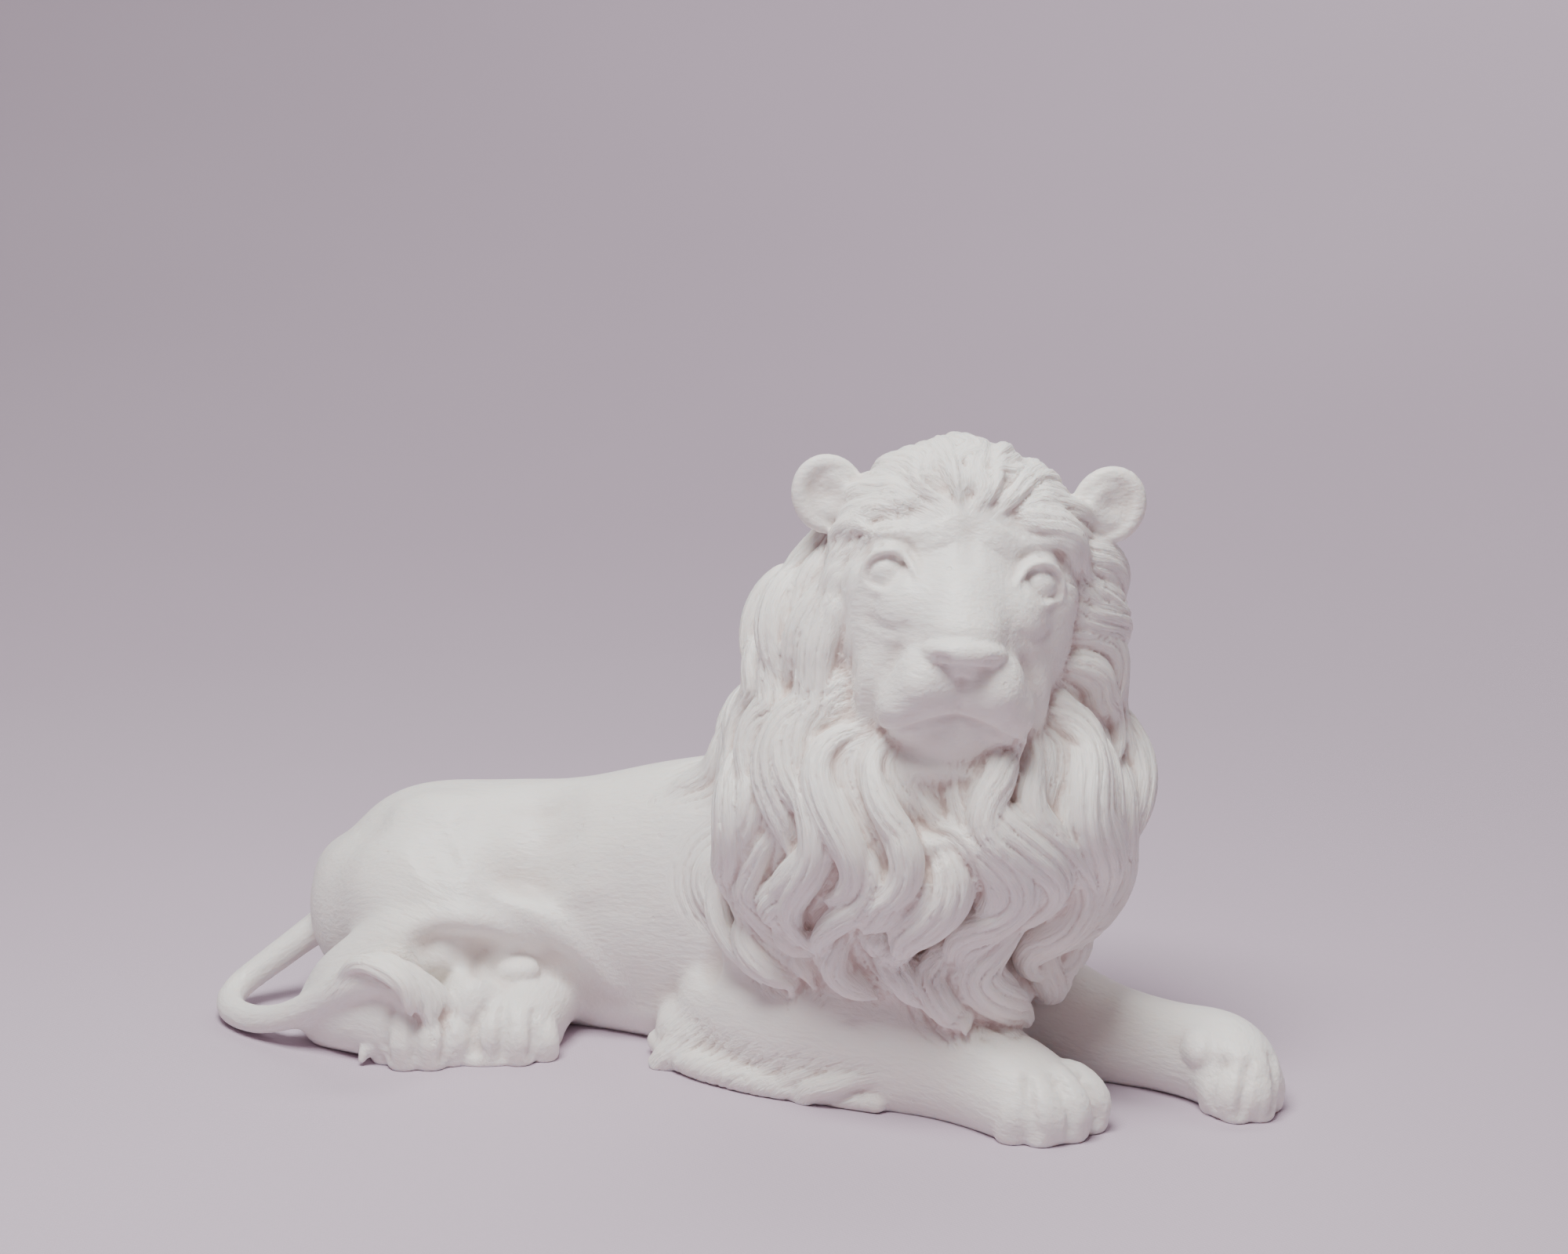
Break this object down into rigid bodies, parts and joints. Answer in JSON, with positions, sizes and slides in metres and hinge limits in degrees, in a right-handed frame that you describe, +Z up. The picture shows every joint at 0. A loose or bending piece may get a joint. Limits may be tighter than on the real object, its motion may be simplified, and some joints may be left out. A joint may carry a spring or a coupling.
{
  "type": "lion statuette",
  "caption": "Reclining male lion statuette with a full wavy mane, head turned to its right, tail curled round a hind foot, cast in one piece of white marble resin.",
  "frame": {"origin": "on the floor plane, below the middle of the statuette's bounding box", "axes": "+Z up, +X the way the forepaws point, +Y the lion's left; the head is turned to the lion's right, towards -Y"},
  "size_m": [0.2255, 0.1163, 0.1411],
  "materials": {
    "lion": "smooth off-white cast marble, satin, faintly translucent at thin edges"
  },
  "bodies": {
    "root": {"lion": "lion"}
  },
  "joints": []
}
